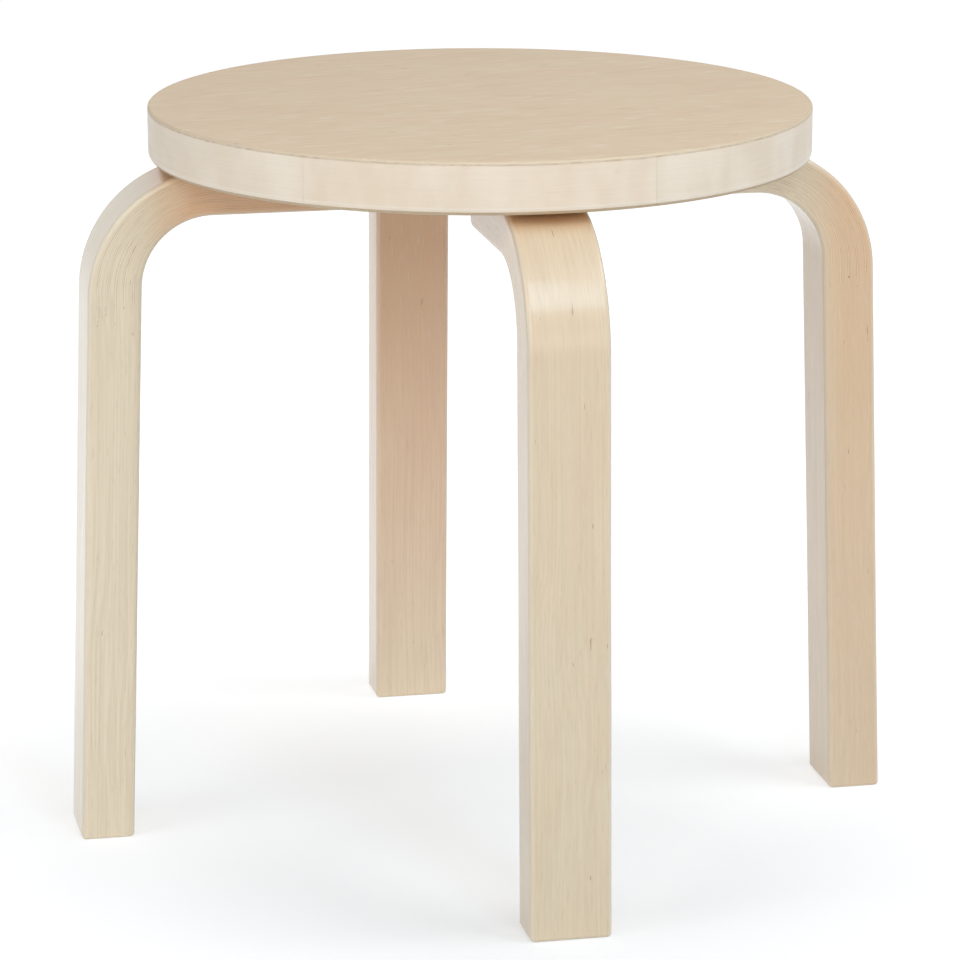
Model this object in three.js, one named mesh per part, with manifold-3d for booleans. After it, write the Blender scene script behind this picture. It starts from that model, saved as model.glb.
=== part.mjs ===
// Stacking stool: a round veneered seat on four bent L-shaped legs.
// Millimetres, +Z up. The origin is on the floor, under the middle of the seat.
// The legs stand on the X and Y axes. "front" is the side towards -Y.

import * as THREE from 'three';
import { mergeVertices } from 'three/addons/utils/BufferGeometryUtils.js';
import Module from 'manifold-3d';

const wasm = await Module();
wasm.setup();

// Driving dimensions of the whole stool
const stoolHeight = 422;
const seatDiameter = 380;
const legOverhang = 50.9;

// Seat: a core board inside a solid rim, faced with a veneer on both sides
const topVeneerThickness = 2.2;
const undersideVeneerThickness = 2;
const coreThickness = 25.4;
const rimWidth = 24;
const rimJointGap = 0.2;
const coreGlueGap = 0.15;
const topEdgeRadius = 1.5;
const bottomEdgeRadius = 3.5;
const rimPieces = 6;
const firstRimJointDegrees = -72;
const seatFacets = 72;
const topEdgeSteps = 2;
const bottomEdgeSteps = 4;

// Legs: a straight shank that leans a little outwards, a bend, and an arm under the seat.
// The feet stand past the seat's edge by the overhang, and the arms reach in from that edge.
const legWidth = 45.6;
const legThickness = 30.7;
const armThickness = 26.6;
const legSplay = 0.033;
const outerBendRadius = 74.2;
const innerBendRadius = 40.9;
const armReach = 108.6;
const armNoseRadius = 3.6;
const legEdgeRadius = 2.8;
const legEdgeSteps = 2;
const bendSteps = 7;
const noseSteps = 2;

// Saw kerfs along the bend, each filled with a glued-in strip of veneer
const stripCount = 5;
const stripThickness = 0.9;
const stripGlueGap = 0.15;
const kerfDropMost = 26;

// Wood screws, driven up through each arm into the seat
const screwBite = 18.7;
const screwHeadRadius = 4.6;
const screwHeadLip = 0.4;
const screwHeadHeight = 3.2;
const screwShankRadius = 2.25;
const screwTipLength = 5;
const screwRecessDepth = 1.6;
const screwRecessWidth = 1;
const screwRecessSpan = 4.8;
const screwClearance = 0.2;
const screwHeadSink = 0.3;
const screwSides = 8;
const screwRowInset = 17;
const screwRowPitch = 42;
const screwPairSpread = 20;

// How far a cutting solid runs past the surface that it cuts
const overrun = 3;

// Sizes that follow from the ones above
const seatRadius = seatDiameter / 2;
const footRadius = seatRadius + legOverhang;
const armEndRadius = seatRadius - armReach;
const undersideZ = stoolHeight - topVeneerThickness - coreThickness - undersideVeneerThickness;
const coreBottomZ = undersideZ + undersideVeneerThickness;
const coreTopZ = coreBottomZ + coreThickness;
const rimInnerRadius = seatRadius - rimWidth;
const armUndersideZ = undersideZ - armThickness;
const screwHeadBottomZ = armUndersideZ + screwHeadSink;
const screwTipZ = undersideZ + screwBite;
const splayAngle = Math.atan(legSplay);
const kerfWidth = stripThickness + 2 * stripGlueGap;
const quarterTurn = Math.PI / 2;

// How far below the bend each kerf stops, from the outer one to the inner one
const legPlan = [
  { name: 'right_leg', turn: 0, kerfDropShares: [0.3, 0.62, 0.4, 0.55, 0.2] },
  { name: 'back_leg', turn: 1, kerfDropShares: [0.5, 0.8, 0.35, 0.6, 0.9] },
  { name: 'left_leg', turn: 2, kerfDropShares: [0.75, 0.5, 0.7, 0.35, 0.95] },
  { name: 'front_leg', turn: 3, kerfDropShares: [0.6, 0.4, 0.85, 0.7, 0.45] },
];

// The three screws of an arm: places along the arm from its end, and across it
const screwPlan = [
  { along: screwRowInset, acrossShare: -0.5 },
  { along: screwRowInset, acrossShare: 0.5 },
  { along: screwRowInset + screwRowPitch, acrossShare: 0 },
];

function wood(color, roughness) {
  return new THREE.MeshStandardMaterial({ color, roughness, metalness: 0 });
}

function steel(color, roughness) {
  return new THREE.MeshStandardMaterial({ color, roughness, metalness: 1 });
}

// A closed mesh becomes a solid: shared vertices merged, slivers on an axis dropped
function toSolid(geometry) {
  const bare = geometry.clone();
  bare.deleteAttribute('normal');
  bare.deleteAttribute('uv');
  const merged = mergeVertices(bare);
  const corners = merged.index.array;
  const kept = [];
  for (let i = 0; i < corners.length; i += 3) {
    const [a, b, c] = corners.slice(i, i + 3);
    if (a !== b && b !== c && c !== a) kept.push(a, b, c);
  }
  return new wasm.Manifold(new wasm.Mesh({
    numProp: 3,
    vertProperties: new Float32Array(merged.attributes.position.array),
    triVerts: new Uint32Array(kept),
  }));
}

function toGeometry(solid) {
  const mesh = solid.getMesh();
  const geometry = new THREE.BufferGeometry();
  geometry.setAttribute('position', new THREE.Float32BufferAttribute(mesh.vertProperties, 3));
  geometry.setIndex(Array.from(mesh.triVerts));
  geometry.computeVertexNormals();
  return geometry;
}

function namedMesh(name, solid, material) {
  const mesh = new THREE.Mesh(toGeometry(solid), material);
  mesh.name = name;
  return mesh;
}

function cutAll(solid, cutters) {
  return cutters.reduce((rest, cutter) => rest.subtract(cutter), solid);
}

// A profile of [radius, height] pairs turned round the Z axis
function turned(profile, facets) {
  const points = profile.map(([radius, height]) => new THREE.Vector2(radius, height));
  const geometry = new THREE.LatheGeometry(points, facets);
  geometry.rotateX(quarterTurn);
  return geometry;
}

// An outline of [distance from the axis, height] pairs, made solid across a width
function slab(outline, width, edgeRadius) {
  const shape = new THREE.Shape(outline.map(([x, z]) => new THREE.Vector2(x, z)));
  const rounded = edgeRadius > 0;
  const geometry = new THREE.ExtrudeGeometry(shape, {
    depth: width - 2 * edgeRadius,
    bevelEnabled: rounded,
    bevelThickness: edgeRadius,
    bevelSize: edgeRadius,
    bevelOffset: -edgeRadius,
    bevelSegments: legEdgeSteps,
  });
  geometry.translate(0, 0, edgeRadius - width / 2);
  geometry.rotateX(quarterTurn);
  return geometry;
}

function arcPoints(centreX, centreZ, radius, startAngle, endAngle, steps) {
  const points = [];
  for (let i = 0; i <= steps; i += 1) {
    const angle = startAngle + (endAngle - startAngle) * i / steps;
    points.push([centreX + radius * Math.cos(angle), centreZ + radius * Math.sin(angle)]);
  }
  return points;
}

// Seat

// A point on the seat's side at a height above its underside, round the bottom edge
function sidePoint(height) {
  const drop = Math.max(bottomEdgeRadius - height, 0);
  const inset = bottomEdgeRadius - Math.sqrt(bottomEdgeRadius ** 2 - drop ** 2);
  return [seatRadius - inset, undersideZ + height];
}

// The seat's side between two heights, with the points that its bottom edge needs
function sideProfile(fromHeight, toHeight) {
  const points = [sidePoint(fromHeight)];
  for (let i = 1; i <= bottomEdgeSteps; i += 1) {
    const height = bottomEdgeRadius * (1 - Math.cos(quarterTurn * i / bottomEdgeSteps));
    if (height > fromHeight && height < toHeight) points.push(sidePoint(height));
  }
  return [...points, sidePoint(toHeight)];
}

function topVeneerSolid() {
  const radius = Math.min(topEdgeRadius, topVeneerThickness);
  const edge = arcPoints(
    seatRadius - radius, stoolHeight - radius, radius, 0, quarterTurn, topEdgeSteps,
  );
  return toSolid(turned([[0, coreTopZ], [seatRadius, coreTopZ], ...edge, [0, stoolHeight]], seatFacets));
}

function undersideVeneerSolid(screwCutters) {
  const side = sideProfile(0, undersideVeneerThickness);
  const veneer = toSolid(turned([[0, undersideZ], ...side, [0, coreBottomZ]], seatFacets));
  return cutAll(veneer, screwCutters);
}

function coreSolid(screwCutters) {
  const radius = rimInnerRadius - coreGlueGap;
  const board = toSolid(turned([
    [0, coreBottomZ],
    [radius, coreBottomZ],
    [radius, coreTopZ],
    [0, coreTopZ],
  ], seatFacets));
  return cutAll(board, screwCutters);
}

function rimRingSolid(screwCutters) {
  const ring = toSolid(turned([
    [rimInnerRadius, coreBottomZ],
    ...sideProfile(undersideVeneerThickness, undersideVeneerThickness + coreThickness),
    [rimInnerRadius, coreTopZ],
    [rimInnerRadius, coreBottomZ],
  ], seatFacets));
  return cutAll(ring, screwCutters);
}

// One sector of the rim, with half a joint gap left at each end
function rimSectorSolid(ring, index) {
  const halfAngle = Math.PI / rimPieces;
  const reach = seatRadius / Math.cos(halfAngle) + overrun;
  const apex = rimJointGap / 2 / Math.sin(halfAngle);
  const side = [Math.cos(halfAngle) * reach, Math.sin(halfAngle) * reach];
  const shape = new THREE.Shape([
    new THREE.Vector2(apex, 0),
    new THREE.Vector2(apex + side[0], -side[1]),
    new THREE.Vector2(apex + side[0], side[1]),
  ]);
  const wedge = new THREE.ExtrudeGeometry(shape, {
    depth: coreThickness + 2 * overrun,
    bevelEnabled: false,
  });
  wedge.translate(0, 0, coreBottomZ - overrun);
  wedge.rotateZ(THREE.MathUtils.degToRad(firstRimJointDegrees) - halfAngle + 2 * halfAngle * index);
  return ring.intersect(toSolid(wedge));
}

// Legs, drawn in the X-Z plane with the leg on the +X side

function outerFaceX(z) {
  return footRadius - legSplay * z;
}

// The bend's arc, tangent to a leaning face and to a level face at topZ
function bendArc(faceX, topZ, radius) {
  const centreZ = topZ - radius;
  const centreX = faceX - (radius + Math.sin(splayAngle) * centreZ) / Math.cos(splayAngle);
  return arcPoints(centreX, centreZ, radius, splayAngle, quarterTurn, bendSteps);
}

// Points of the line that runs at a share of the thickness in from the outer face,
// from a height on the shank, round the bend and along the arm to armX
function grainLine(share, startZ, armX) {
  const outer = bendArc(outerFaceX(0), undersideZ, outerBendRadius);
  const inner = bendArc(outerFaceX(0) - legThickness, armUndersideZ, innerBendRadius);
  const bend = outer.map(([x, z], i) => [
    x + (inner[i][0] - x) * share,
    z + (inner[i][1] - z) * share,
  ]);
  return [
    [outerFaceX(startZ) - legThickness * share, startZ],
    ...bend,
    [armX, undersideZ - armThickness * share],
  ];
}

// A strip of even thickness along a line, as a closed outline
function stripOutline(line, thickness) {
  const sides = [[], []];
  line.forEach(([x, z], i) => {
    const [beforeX, beforeZ] = line[Math.max(i - 1, 0)];
    const [afterX, afterZ] = line[Math.min(i + 1, line.length - 1)];
    const run = Math.hypot(afterX - beforeX, afterZ - beforeZ);
    const normalX = (afterZ - beforeZ) / run * thickness / 2;
    const normalZ = -(afterX - beforeX) / run * thickness / 2;
    sides[0].push([x + normalX, z + normalZ]);
    sides[1].unshift([x - normalX, z - normalZ]);
  });
  return [...sides[0], ...sides[1]];
}

function kerfEndZ(leg, index) {
  const bendEndZ = armUndersideZ - innerBendRadius;
  return bendEndZ - kerfDropMost * leg.kerfDropShares[index];
}

function kerfShare(index) {
  return (index + 1) / (stripCount + 1);
}

function legBlankSolid() {
  const outer = grainLine(0, -overrun, armEndRadius);
  const inner = grainLine(1, -overrun, armEndRadius).slice(0, -1).reverse();
  const nose = arcPoints(
    armEndRadius + armNoseRadius, armUndersideZ + armNoseRadius, armNoseRadius,
    Math.PI, Math.PI + quarterTurn, noseSteps,
  );
  const blank = toSolid(slab([...outer, ...nose, ...inner], legWidth, legEdgeRadius));
  const floor = new THREE.BoxGeometry(footRadius * 2, footRadius * 2, overrun * 2);
  floor.translate(footRadius, 0, -overrun);
  return blank.subtract(toSolid(floor));
}

function legSolid(leg, screwCutters) {
  const kerfs = leg.kerfDropShares.map((_, index) => {
    const line = grainLine(kerfShare(index), kerfEndZ(leg, index), armEndRadius - overrun);
    return toSolid(slab(stripOutline(line, kerfWidth), legWidth + 2 * overrun, 0));
  });
  return cutAll(cutAll(legBlankSolid(), kerfs), screwCutters);
}

function stripSolid(leg, index, screwCutters) {
  const startZ = kerfEndZ(leg, index) + stripGlueGap;
  const line = grainLine(kerfShare(index), startZ, armEndRadius);
  return cutAll(toSolid(slab(stripOutline(line, stripThickness), legWidth, 0)), screwCutters);
}

// Screws, point up, with a cross recess in the countersunk head

function screwProfile(clearance) {
  const lipZ = screwHeadBottomZ + screwHeadLip;
  return [
    [screwHeadRadius + clearance, lipZ],
    [screwShankRadius + clearance, lipZ + screwHeadHeight],
    [screwShankRadius + clearance, screwTipZ - screwTipLength],
    [0, screwTipZ + clearance],
  ];
}

function screwSolid() {
  const body = toSolid(turned([
    [0, screwHeadBottomZ],
    [screwHeadRadius, screwHeadBottomZ],
    ...screwProfile(0),
  ], screwSides));
  const slots = [0, quarterTurn].map((turn) => {
    const slot = new THREE.BoxGeometry(screwRecessSpan, screwRecessWidth, screwRecessDepth * 2);
    slot.rotateZ(turn);
    slot.translate(0, 0, screwHeadBottomZ);
    return toSolid(slot);
  });
  return cutAll(body, slots);
}

// The same screw with its clearance, open below the arm, to cut the wood with
function screwCutterSolid() {
  return toSolid(turned([
    [0, armUndersideZ - overrun],
    [screwHeadRadius + screwClearance, armUndersideZ - overrun],
    ...screwProfile(screwClearance),
  ], screwSides));
}

function screwPlace(screw) {
  return [armEndRadius + screw.along, screwPairSpread * screw.acrossShare];
}

// Cutters for one arm, in the leg's own directions
function armScrewCutters() {
  const cutter = screwCutterSolid();
  return screwPlan.map((screw) => cutter.translate([...screwPlace(screw), 0]));
}

// Cutters for the seat, under all four arms
function seatScrewCutters() {
  const arm = armScrewCutters();
  const rightAngle = 90;
  return legPlan.flatMap((leg) => arm.map((cutter) => cutter.rotate([0, 0, leg.turn * rightAngle])));
}

// Assembly

function buildSeat() {
  const seat = new THREE.Group();
  const cutters = seatScrewCutters();
  seat.add(namedMesh('seat_top_veneer', topVeneerSolid(), wood(0xd8c5a8, 0.45)));
  seat.add(namedMesh('seat_underside_veneer', undersideVeneerSolid(cutters), wood(0xd2bf9f, 0.6)));
  seat.add(namedMesh('seat_core_board', coreSolid(cutters), wood(0xc9ae86, 0.7)));
  const ring = rimRingSolid(cutters);
  for (let i = 0; i < rimPieces; i += 1) {
    seat.add(namedMesh(`seat_rim_segment_${i + 1}`, rimSectorSolid(ring, i), wood(0xe6dac4, 0.45)));
  }
  return seat;
}

function buildLeg(leg) {
  const group = new THREE.Group();
  const cutters = armScrewCutters();
  group.add(namedMesh(leg.name, legSolid(leg, cutters), wood(0xdfcba8, 0.45)));
  leg.kerfDropShares.forEach((_, index) => {
    const strip = stripSolid(leg, index, cutters);
    group.add(namedMesh(`${leg.name}_veneer_strip_${index + 1}`, strip, wood(0xecdfc4, 0.5)));
  });
  screwPlan.forEach((screw, index) => {
    const mesh = namedMesh(`${leg.name}_screw_${index + 1}`, screwSolid(), steel(0xb9b7b0, 0.35));
    mesh.position.set(...screwPlace(screw), 0);
    group.add(mesh);
  });
  group.rotation.z = leg.turn * quarterTurn;
  return group;
}

const stool = new THREE.Group();
stool.add(buildSeat());
legPlan.forEach((leg) => stool.add(buildLeg(leg)));

export default stool;
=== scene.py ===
# Stacking stool: a round veneered seat on four bent birch legs.
# Metres, +Z up. The origin is on the floor, under the middle of the seat.
# The legs stand on the X and Y axes, and the camera looks at them from -Y.

import math
from collections import namedtuple

import bmesh
import bpy
from mathutils import Matrix, Vector
from mathutils.geometry import delaunay_2d_cdt


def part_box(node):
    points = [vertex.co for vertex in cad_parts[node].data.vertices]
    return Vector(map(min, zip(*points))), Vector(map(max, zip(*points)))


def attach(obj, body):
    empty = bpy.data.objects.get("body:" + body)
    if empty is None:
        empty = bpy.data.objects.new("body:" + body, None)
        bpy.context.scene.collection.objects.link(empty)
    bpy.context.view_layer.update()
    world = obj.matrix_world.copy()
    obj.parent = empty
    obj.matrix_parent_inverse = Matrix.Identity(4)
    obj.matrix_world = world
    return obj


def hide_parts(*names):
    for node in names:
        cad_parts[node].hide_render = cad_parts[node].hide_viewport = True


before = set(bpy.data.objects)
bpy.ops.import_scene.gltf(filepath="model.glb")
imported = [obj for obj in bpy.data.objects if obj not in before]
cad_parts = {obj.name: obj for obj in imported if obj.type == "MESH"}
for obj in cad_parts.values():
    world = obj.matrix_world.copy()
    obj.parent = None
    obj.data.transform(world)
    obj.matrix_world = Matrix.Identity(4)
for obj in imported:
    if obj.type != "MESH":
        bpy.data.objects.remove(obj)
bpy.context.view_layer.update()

mm = 0.001
quarter_turn = math.pi / 2
full_turn = 2 * math.pi

# Sizes read from the frame
seat_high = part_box("seat_top_veneer")[1]
core_low, core_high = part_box("seat_core_board")
leg_low, leg_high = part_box("right_leg")
stool_height = seat_high[2]
seat_radius = seat_high[0]
core_bottom = core_low[2]
core_top = core_high[2]
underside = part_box("seat_underside_veneer")[0][2]
foot_radius = leg_high[0]
leg_width = leg_high[1] - leg_low[1]
arm_end = leg_low[0]

# Seat: the rim round the core board, and the edges of its veneers
rim_width = 24 * mm
rim_joint_gap = 0.03 * mm
rim_pieces = 6
first_rim_joint = math.radians(-132)
top_edge_radius = 1.5 * mm
bottom_edge_radius = 3.5 * mm
router_step = 0.12 * mm
joint_groove = 0.13 * mm
seat_grain_direction = math.radians(9)
seat_steps = 180
edge_steps = 6

# Places on the rim's side: the router's lip with a painted highlight over it, fading upwards, above
# the rounded lower edge, and the glue below the upper joint
router_lip = 2 * router_step
lip_highlight_end = 6 * router_step
lip_highlight_fade_end = 9 * router_step
glue_reach = 3 * joint_groove

# Shares of wear and glue at the seat's edges and joints, with a painted highlight on the router's
# lip and a painted shade line at its step
lower_edge_wear = 0.4
lip_highlight = 0.6
veneer_groove_glue = 0.7
veneer_edge_glue = 0.35
veneer_side_glue = 0.3
underside_glue = 0.4
router_line_shade = 0.3
rim_groove_glue = 0.6
rim_joint_glue = 0.2

# Legs: a leaning shank, a bend and an arm under the seat. The screws' heads lie a little above
# the arm's underside.
leg_names = ("right_leg", "back_leg", "left_leg", "front_leg")
leg_thickness = 30.7 * mm
screw_sink = 0.3 * mm
arm_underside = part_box("right_leg_screw_1")[0][2] - screw_sink
outer_bend_radius = 74.2 * mm
inner_bend_radius = 40.9 * mm
splay_slope = 0.033
splay_angle = math.atan(splay_slope)
leg_edge_radius = 2.6 * mm
arm_nose_radius = 3.6 * mm
end_ease = 0.7 * mm
foot_ease = 2.2 * mm
bend_steps = 36
fillet_steps = 4
nose_steps = 8

# Kerfs sawn along the bend, and the veneer strips glued into them. Glue stains the wood beside
# each kerf, and runs out a short way below its end.
strip_count = 5
strip_thickness = 0.9 * mm
glue_gap = 0.03 * mm
kerf_width = strip_thickness + 2 * glue_gap
glue_stain = 0.16 * mm
glue_tail = 1.6 * mm

# Wood screws: a countersunk head with a cross recess, and a ridged shank
screw_count = 3
head_radius = 4.6 * mm
head_lip = 0.4 * mm
head_height = 3.2 * mm
head_ease = 0.2 * mm
shank_radius = 2.25 * mm
thread_root = 1.75 * mm
thread_pitch = 2 * mm
thread_count = 14
tip_radius = 0.2 * mm
recess_depth = 1.6 * mm
recess_width = 1 * mm
recess_span = 4.8 * mm
recess_taper_share = 0.7
screw_turn_step = math.radians(37)
screw_steps = 32
pocket_clearance = 0.2 * mm
pocket_floor_radius = 2.6 * mm

# Tones of the boards: above 0 darker and redder, below 0 bleached. On the legs the tones also
# paint light and shade: the back and left legs are bleached where the lamps leave them darker, a
# leg grows darker and redder with painted shade from the seat on its way up, of which its outer
# face shows a share, its arm carries painted shade above 0 and painted light below 0, and right
# under the seat it carries a painted contact shadow. The tuples go through the rim's segments, or
# through the legs in the order of their names.
rim_tones = (0.1, 0, 0.12, 0.1, 0.05, -0.15)
# The back and left legs are bleached all over, painted light where the lamps leave them darker
leg_tones_and_light = (0.24, -1.0, -0.85, 0)
strip_paleness = 0.18
# Painted shade from the seat: each leg darker and redder on its way up, from the start height to the
# end
under_seat_shade = (0.55, 2.0, 0.5, 0.2)
under_seat_shade_start = (90 * mm, 135 * mm, 90 * mm, 90 * mm)
under_seat_shade_end = (arm_underside, 265 * mm, arm_underside, arm_underside)
under_seat_shade_curve = 1.5
# Painted shade above 0 and painted light below 0 along each arm, under the seat
arm_shade_and_light = (-1.9, -1.0, 2.0, 0.2)
arm_shading_start = 212 * mm
arm_shading_reach = 60 * mm
# The share of a leg's painted shading that its outer face shows
outer_face_shading_shares = (1, 0.25, 1, 1)
# A painted contact shadow on each leg right under the seat
contact_shade = (0, 0, 0.6, 0.7)
contact_shade_reach = 4.5 * mm

# Each piece takes its grain from another stretch of the log, counted in steps
log_step = 1700 * mm
underside_log_place = 1
first_rim_log_place = 2
first_leg_log_place = 10
first_strip_log_place = 20

# Meshing, where a filled outline keeps the triangles inside it
sharp_angle = math.radians(40)
weld_distance = 0.001 * mm
keep_inside = 1


# Mesh making

class Blank:
    """A piece being shaped. Each vertex knows its place along, into and across the board
    that it was cut from, how deep the board's tone is, with the legs' painted light and shade,
    how worn the vertex is, with the seat's painted edge highlights, and how much glue shows
    there, with a painted shade line at the rim's router step."""

    def __init__(self, log_place=0, board_tone=0):
        self.mesh = bmesh.new()
        self.grain = self.mesh.verts.layers.float_vector.new("grain")
        self.wear_and_highlight = self.mesh.verts.layers.float.new("wear_and_highlight")
        self.glue = self.mesh.verts.layers.float.new("glue")
        self.tone = self.mesh.verts.layers.float.new("tone")
        self.log_place = log_place * log_step
        self.board_tone = board_tone

    def vertex(self, place, grain, wear_and_highlight=0, glue=0, painted_shading=0):
        vertex = self.mesh.verts.new(place)
        along, into, across = grain
        vertex[self.grain] = Vector((along + self.log_place, into, across))
        vertex[self.wear_and_highlight] = wear_and_highlight
        vertex[self.glue] = glue
        vertex[self.tone] = self.board_tone + painted_shading
        return vertex

    def face(self, *corners):
        return self.mesh.faces.new(corners)

    def bridge(self, first, second, closed=True):
        """Four-sided faces between two rows of vertices"""
        count = len(first) if closed else len(first) - 1
        for i in range(count):
            after = (i + 1) % len(first)
            self.face(first[i], first[after], second[after], second[i])

    def fill_level(self, rim, holes):
        """Fills a level face inside a rim of vertices, and leaves the holes open"""
        loops = [rim, *holes]
        corners = [vertex for loop in loops for vertex in loop]
        edges = []
        for loop in loops:
            first = len(edges)
            edges += [(first + i, first + (i + 1) % len(loop)) for i in range(len(loop))]
        points = [vertex.co.xy for vertex in corners]
        filled = delaunay_2d_cdt(points, edges, [], keep_inside, weld_distance)
        places, _, triangles, origins, _, _ = filled
        hole_loops = [[vertex.co.xy for vertex in hole] for hole in holes]
        for triangle in triangles:
            middle = sum((places[i] for i in triangle), Vector((0, 0))) / len(triangle)
            if not any(is_inside(middle, loop) for loop in hole_loops):
                self.face(*(corners[origins[i][0]] for i in triangle))

    def finish(self, name, material, slot, *nodes):
        """Makes the piece, in place of its CAD nodes"""
        bmesh.ops.recalc_face_normals(self.mesh, faces=self.mesh.faces)
        data = bpy.data.meshes.new(name)
        self.mesh.to_mesh(data)
        self.mesh.free()
        data.shade_smooth()
        data.set_sharp_from_angle(angle=sharp_angle)
        data.materials.append(material)
        piece = bpy.data.objects.new(name, data)
        bpy.context.scene.collection.objects.link(piece)
        weighted = piece.modifiers.new("even shading", "WEIGHTED_NORMAL")
        weighted.keep_sharp = True
        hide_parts(*nodes)
        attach(piece, "root")
        return piece


def is_inside(point, loop):
    """True if a point lies inside a loop of 2-D points"""
    crossings = 0
    for start, end in zip(loop, loop[1:] + loop[:1]):
        if (start.y > point.y) != (end.y > point.y):
            share = (point.y - start.y) / (end.y - start.y)
            crossings += point.x < start.x + share * (end.x - start.x)
    return crossings % 2 == 1


def steps_between(start, end, count):
    """Values from start to end, both included"""
    return [start + (end - start) * i / count for i in range(count + 1)]


def share_between(value, start, end):
    """How far a value lies from the start to the end, as a share from 0 to 1"""
    return min(max((value - start) / (end - start), 0), 1)


def rounding(distance, radius):
    """How far a rounded edge lies in from the square one, at a distance from the end"""
    if distance >= radius:
        return 0
    return radius - math.sqrt(radius ** 2 - (radius - distance) ** 2)


# Seat pieces

def board_grain(x, y, into):
    """The place in a flat board whose grain runs at the seat's grain direction"""
    cosine = math.cos(seat_grain_direction)
    sine = math.sin(seat_grain_direction)
    return x * cosine + y * sine, into, y * cosine - x * sine


def seat_ring(blank, radius, height, wear_and_highlight=0, glue=0):
    """A level ring of vertices round the seat's axis"""
    ring = []
    for i in range(seat_steps):
        angle = full_turn * i / seat_steps
        x = radius * math.cos(angle)
        y = radius * math.sin(angle)
        ring.append(blank.vertex((x, y, height), board_grain(x, y, height), wear_and_highlight, glue))
    return ring


def seat_disc(blank, profile):
    """A disc turned from a profile of (radius, height, wear, glue), flat on both faces"""
    rings = [seat_ring(blank, *point) for point in profile]
    for first, second in zip(rings, rings[1:]):
        blank.bridge(first, second)
    blank.face(*rings[0])
    blank.face(*rings[-1])


def make_top_veneer(material):
    blank = Blank()
    # The veneer's edge and rounding are worn paler, partly real wear and partly a painted highlight
    profile = [
        (seat_radius - joint_groove, core_top, 1, veneer_groove_glue),
        (seat_radius, core_top + joint_groove, 1, veneer_edge_glue),
    ]
    for angle in steps_between(0, quarter_turn, edge_steps):
        radius = seat_radius - top_edge_radius * (1 - math.cos(angle))
        height = stool_height - top_edge_radius * (1 - math.sin(angle))
        glue = veneer_side_glue if angle == 0 else 0
        profile.append((radius, height, math.cos(angle) ** 2, glue))
    seat_disc(blank, profile)
    blank.finish("top_veneer", material, "seat_veneer", "seat_top_veneer")


def rounded_side(height):
    """The seat's radius at a height in its rounded bottom edge"""
    drop = bottom_edge_radius - (height - underside)
    inset = bottom_edge_radius - math.sqrt(bottom_edge_radius ** 2 - drop ** 2)
    return seat_radius - router_step - inset


def make_underside_veneer(material):
    blank = Blank(underside_log_place)
    profile = []
    veneer_thickness = core_bottom - underside
    for share in steps_between(0, 1, edge_steps):
        height = underside + (veneer_thickness - joint_groove) * share ** 2
        profile.append((rounded_side(height), height, 1 - share, 0))
    profile.append((rounded_side(core_bottom) - joint_groove, core_bottom, 0, underside_glue))
    seat_disc(blank, profile)
    blank.finish("underside_veneer", material, "seat_underside_veneer", "seat_underside_veneer")


def rim_profile():
    """The rim's section, as (radius, height, wear, glue), from its inner bottom corner round"""
    inner_radius = seat_radius - rim_width
    profile = [
        (inner_radius, core_bottom, 0, 0),
        (rounded_side(core_bottom) - joint_groove, core_bottom, 0, underside_glue),
    ]
    round_top = underside + bottom_edge_radius
    for height in steps_between(core_bottom + joint_groove, round_top, edge_steps):
        profile.append((rounded_side(height), height, lower_edge_wear, 0))
    profile += [
        # The router's step and lip: a painted shade line at the step, under a painted highlight that
        # fades upwards
        (seat_radius - router_step, round_top + router_step, lip_highlight, router_line_shade),
        (seat_radius, round_top + router_lip, 1, 0),
        (seat_radius, round_top + lip_highlight_end, lip_highlight, 0),
        (seat_radius, round_top + lip_highlight_fade_end, 0, 0),
        (seat_radius, core_top - glue_reach, 0, 0),
        (seat_radius, core_top - joint_groove, 0, rim_joint_glue),
        (seat_radius - joint_groove, core_top, 0, rim_groove_glue),
        (inner_radius, core_top, 0, 0),
    ]
    return profile


def make_rim_segment(index, material):
    blank = Blank(first_rim_log_place + index, rim_tones[index])
    sweep = full_turn / rim_pieces
    gap = rim_joint_gap / seat_radius
    groove = joint_groove / seat_radius
    start = first_rim_joint + sweep * index + gap
    end = start + sweep - 2 * gap
    steps = seat_steps // rim_pieces
    angles = [start, *steps_between(start + groove, end - groove, steps), end]
    inner_radius = seat_radius - rim_width
    rows = []
    for angle in angles:
        at_joint = angle in (start, end)
        row = []
        for radius, height, wear_and_highlight, glue in rim_profile():
            if at_joint and radius > inner_radius:
                radius -= joint_groove
            place = (radius * math.cos(angle), radius * math.sin(angle), height)
            grain = (angle * seat_radius, radius, height)
            if at_joint:
                glue = max(glue, rim_joint_glue)
            row.append(blank.vertex(place, grain, wear_and_highlight, glue))
        rows.append(row)
    for first, second in zip(rows, rows[1:]):
        blank.bridge(first, second)
    blank.face(*rows[0])
    blank.face(*rows[-1])
    node = f"seat_rim_segment_{index + 1}"
    blank.finish(f"rim_segment_{index + 1}", material, "seat_rim", node)


# Legs, drawn in the X-Z plane with the leg on the +X side and turned into place

# A cut across the leg: the points of its outer and inner faces, how far along the leg it lies,
# and how far its edges are eased in there
Section = namedtuple("Section", "outer inner along inset")


def bend_point(face_x, top, radius, angle):
    """A point of an arc that is tangent to a leaning face and to a level face at top"""
    centre_z = top - radius
    centre_x = face_x - (radius + math.sin(splay_angle) * centre_z) / math.cos(splay_angle)
    return Vector((centre_x + radius * math.cos(angle), centre_z + radius * math.sin(angle)))


def bend_pair(angle):
    """The points of the leg's outer and inner faces at an angle round the bend"""
    outer = bend_point(foot_radius, underside, outer_bend_radius, angle)
    inner = bend_point(foot_radius - leg_thickness, arm_underside, inner_bend_radius, angle)
    return outer, inner


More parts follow.
